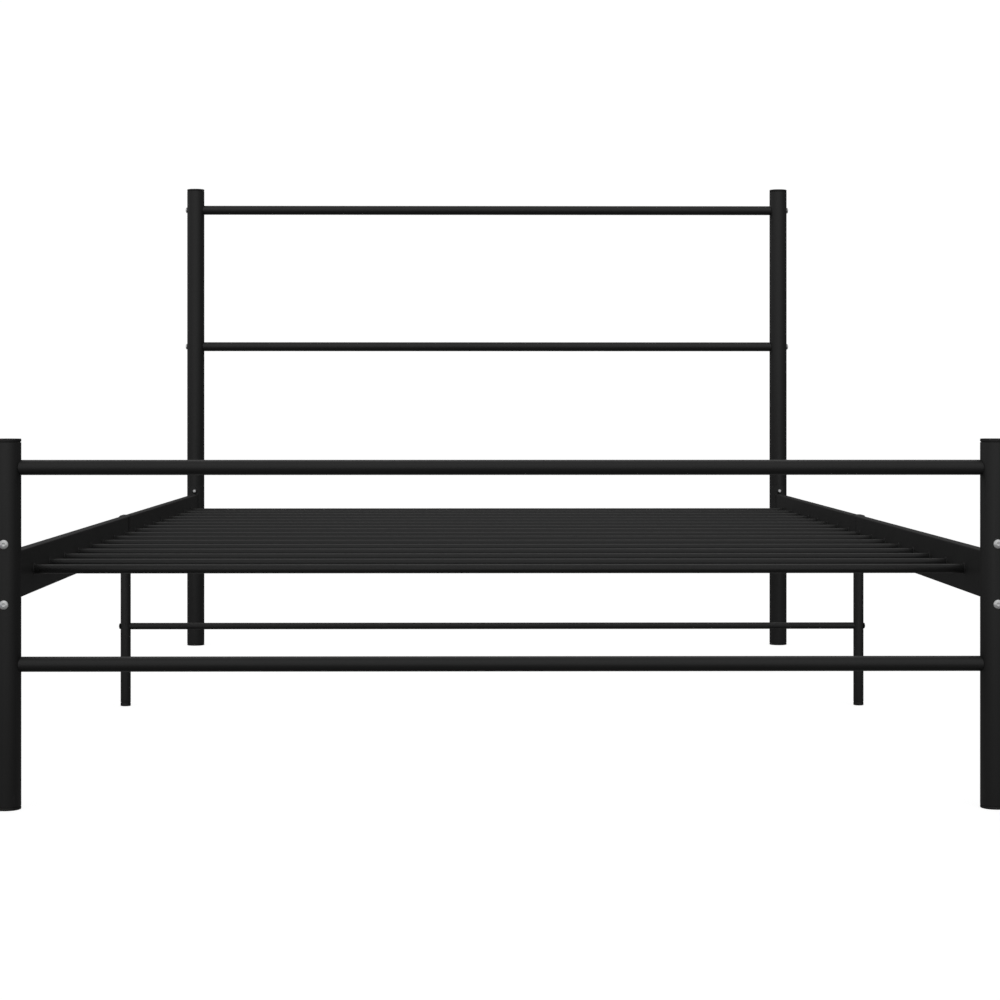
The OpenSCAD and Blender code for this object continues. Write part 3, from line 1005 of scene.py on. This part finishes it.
def screw_shape(length, threaded, d, pitch):
    """Button-head screw: thread from z = 0 to length, low head with a hexagon socket below z = 0."""
    segments = 48
    steps_per_turn = 8
    tip = 0.25 * MM
    major = d / 2
    minor = major - 0.61 * pitch
    head_r = d - 0.2 * MM
    head_t = HEAD_HEIGHT * d
    dome_t = head_t - HEAD_RIM * d
    dome_r = (d ** 2 + dome_t ** 2) / (2 * dome_t)
    flats = SOCKET_FLATS * d
    depth = SOCKET_DEPTH * d
    turns = [2 * math.pi * k / segments for k in range(segments)]

    def ring(radius, z):
        return [Vector((radius * math.cos(t), radius * math.sin(t), z)) for t in turns]

    def dome(radius):
        return -head_t + dome_r - math.sqrt(dome_r ** 2 - radius ** 2)

    def hexagon(grow, depth_below):
        points = []
        for t in turns:
            r = hex_radius(t, flats) + grow
            z = dome(r) if depth_below is None else -head_t + depth_below
            points.append(Vector((r * math.cos(t), r * math.sin(t), z)))
        return points

    def thread_ring(z):
        """Slice of a helical thread that fades out at both ends."""
        fade = min(1.0, (length - z) / pitch, (z - (length - threaded)) / pitch)
        points = []
        for t in turns:
            phase = (z / pitch - t / (2 * math.pi)) % 1.0
            ridge = min(1.0, 1.25 * (1 - abs(2 * phase - 1)))
            r = minor + (major - minor) * ridge * fade
            points.append(Vector((r * math.cos(t), r * math.sin(t), z)))
        return points

    rings = [ring(0, length), ring(minor - tip, length), ring(minor, length - tip)]
    slices = int((threaded - 0.5 * MM) / pitch * steps_per_turn)
    for k in range(slices + 1):
        rings.append(thread_ring(length - tip - k * pitch / steps_per_turn))
    rings.append(ring(major, length - threaded - 0.6 * MM))
    rings.append(ring(major, 0.35 * MM))
    rings.append(ring(major + 0.35 * MM, 0))
    shoulder = head_r - 0.5 * MM
    rim = flats / 2 / math.cos(math.radians(30)) + 0.35 * MM
    side = [(head_r - 0.25 * MM, 0), (head_r, -0.25 * MM), (head_r, dome(head_r) + 0.35 * MM),
            (head_r - 0.14 * MM, dome(head_r) + 0.1 * MM)]
    rings += [ring(r, z) for r, z in side]
    for k in range(8):
        r = shoulder - (shoulder - rim) * k / 8
        rings.append(ring(r, dome(r)))
    rings.append(hexagon(0.22 * MM, None))
    rings.append(hexagon(0, 0.35 * MM))
    rings.append(hexagon(0, depth))
    rings.append(ring(0, -head_t + depth + 0.3 * MM))
    return loft(rings)


def make_rail_screws(end):
    sy = ENDS[end]
    shapes = []
    for index, sx in enumerate(SIDES.values()):
        for level, z in enumerate(RAIL_SCREW_Z[end]):
            place = facing((sx * POST_X, sy * (POST_Y + POST_R), z), (0, -sy, 0))
            spin = Matrix.Rotation(math.radians(17 + 23 * index + 31 * level), 4, "Z")
            shapes.append(moved(screw_shape(RAIL_SCREW_L, 12 * MM, **M6), place @ spin))
    node = f"rail_screws_{end}"
    piece(node + "_m6", joined(shapes), "bright_zinc", [node])


def make_rung_screws():
    shapes = []
    for sx in SIDES.values():
        for index, end in enumerate(ENDS):
            for level in ("upper", "lower"):
                seat = centre(f"{end}_rung_{level}")
                place = facing((sx * (POST_X + POST_R), seat.y, seat.z), (-sx, 0, 0))
                spin = Matrix.Rotation(math.radians(11 + 37 * index + 9 * len(shapes)), 4, "Z")
                shapes.append(moved(screw_shape(RUNG_SCREW_L, 16 * MM, **M6), place @ spin))
    piece("rung_screws_m6", joined(shapes), "bright_zinc", ["rung_screws"])


def make_joiner_screws():
    shapes = []
    for sx in SIDES.values():
        for y in (-JOINER_SCREW_Y, JOINER_SCREW_Y):
            place = facing((sx * (POST_X + JOINER_W / 2), y, RAIL_Z), (-sx, 0, 0))
            spin = Matrix.Rotation(math.radians(13 * len(shapes)), 4, "Z")
            shapes.append(moved(screw_shape(JOINER_SCREW_L, 6 * MM, **M6), place @ spin))
    piece("joiner_screws_m6", joined(shapes), "black_screw", ["joiner_screws"])


def make_crossbar_screws():
    shapes = []
    for sx in SIDES.values():
        place = facing((sx * (POST_X + LEG_R), 0, CROSSBAR_Z), (-sx, 0, 0))
        shapes.append(moved(screw_shape(CROSSBAR_SCREW_L, 12 * MM, **M5), place))
    piece("crossbar_screws_m5", joined(shapes), "black_screw", ["crossbar_screws"])


# ---------------------------------------------------------------- assembly

def make_bed():
    for side in SIDES:
        for end in ENDS:
            make_post(side, end)
            make_cap(side, end)
            make_glide(side, end)
            make_rail(side, end)
            make_saddle(side, end)
            make_rail_weld(side, end)
        make_joiner(side)
        make_leg(side)
        make_leg_glide(side)
        make_leg_weld(side)
        make_bushes(side)
    for end in ENDS:
        for level in ("upper", "lower"):
            make_rung(end, level)
        make_rail_screws(end)
    make_crossbar()
    for slat in SLATS:
        make_slat(slat)
    make_weld_nuts()
    make_rung_screws()
    make_joiner_screws()
    make_crossbar_screws()


def dress_cad_nodes():
    """Hidden CAD nodes that keep their own shape get the finished materials."""
    slots = {row["node"]: row["material_slot"] for row in frame["record"]["subparts"]}
    for name in ("rail_splice_left", "rail_splice_right", "rung_inserts", "crossbar_inserts"):
        mesh = frame["nodes"][name].data
        mesh.materials.clear()
        mesh.materials.append(MATERIALS[slots[name]])


make_studio()
make_bed()
dress_cad_nodes()
